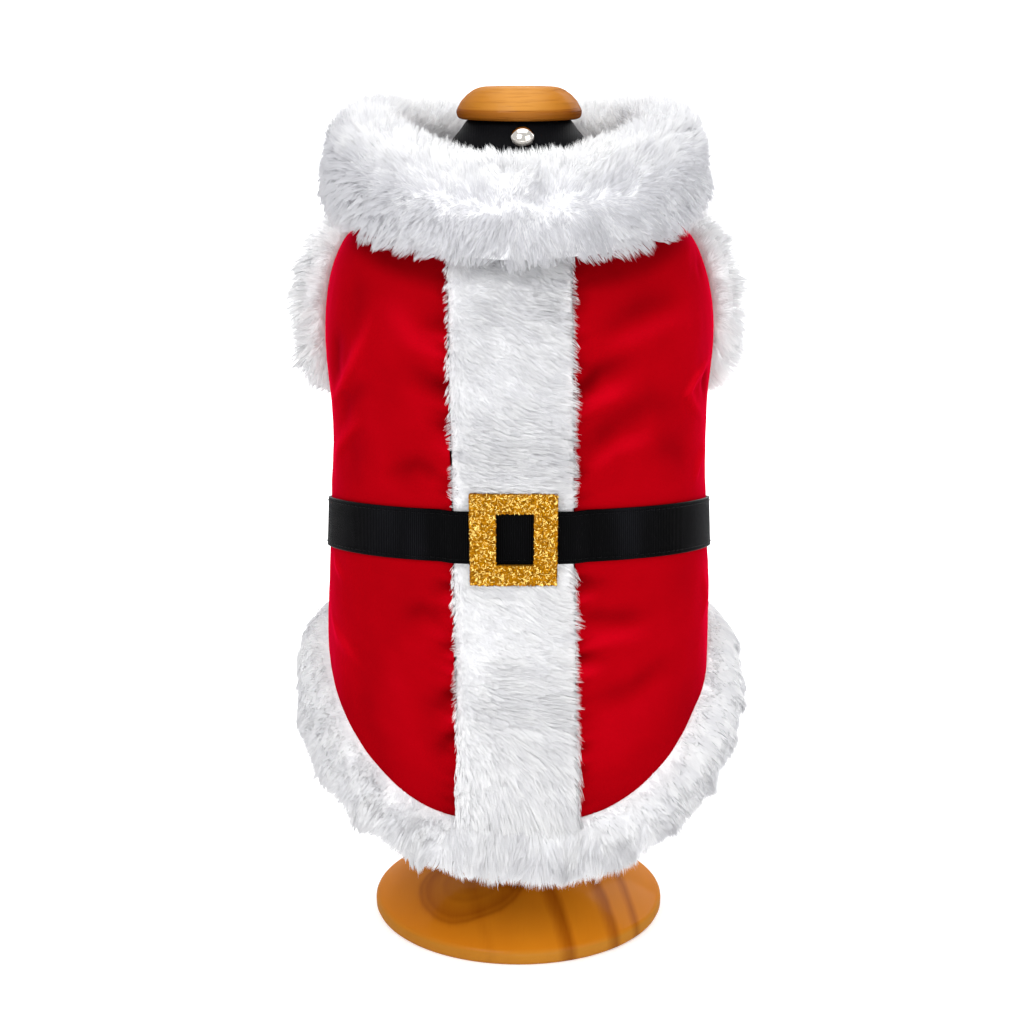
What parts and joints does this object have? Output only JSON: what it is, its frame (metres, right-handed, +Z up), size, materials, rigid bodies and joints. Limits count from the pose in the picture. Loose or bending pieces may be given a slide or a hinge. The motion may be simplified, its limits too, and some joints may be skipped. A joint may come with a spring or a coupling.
{
  "type": "dog santa coat on dress form",
  "caption": "Red velvet santa coat for a dog, white fur collar, cuffs, hem and back strip, black belt with gold buckle, worn by a limbless black dress form on a turned wooden base.",
  "frame": {"origin": "on the floor, at the centre of the turned base's underside", "axes": "+Z up along the post and the neck; -Y out of the coat's decorated back, which the camera faces; +Y out of its belly side; +X to the right as seen from -Y"},
  "size_m": [0.2382, 0.2193, 0.433],
  "materials": {
    "red_velvet": "short velvet pile, deep red, soft folds",
    "white_fur": "long clumped faux fur, white",
    "black_ribbon": "ribbed grosgrain ribbon, black, stitched along its edges",
    "gold_glitter": "coarse gold glitter on a stiff slide",
    "form_jersey": "smooth black jersey stretched over a hard form",
    "honey_wood": "turned wood under honey-coloured satin varnish",
    "polished_steel": "polished stud"
  },
  "bodies": {
    "root": {"form_body": "form_jersey", "base": "honey_wood", "post": "honey_wood", "neck_cap": "honey_wood", "neck_stud": "polished_steel", "back_panel_left": "red_velvet", "back_panel_right": "red_velvet", "belly_panel": "red_velvet", "placket": "white_fur", "collar": "white_fur", "hem_band_back": "white_fur", "hem_band_belly": "white_fur", "cuff_left": "white_fur", "cuff_right": "white_fur", "belt": "black_ribbon", "buckle": "gold_glitter"}
  },
  "joints": []
}
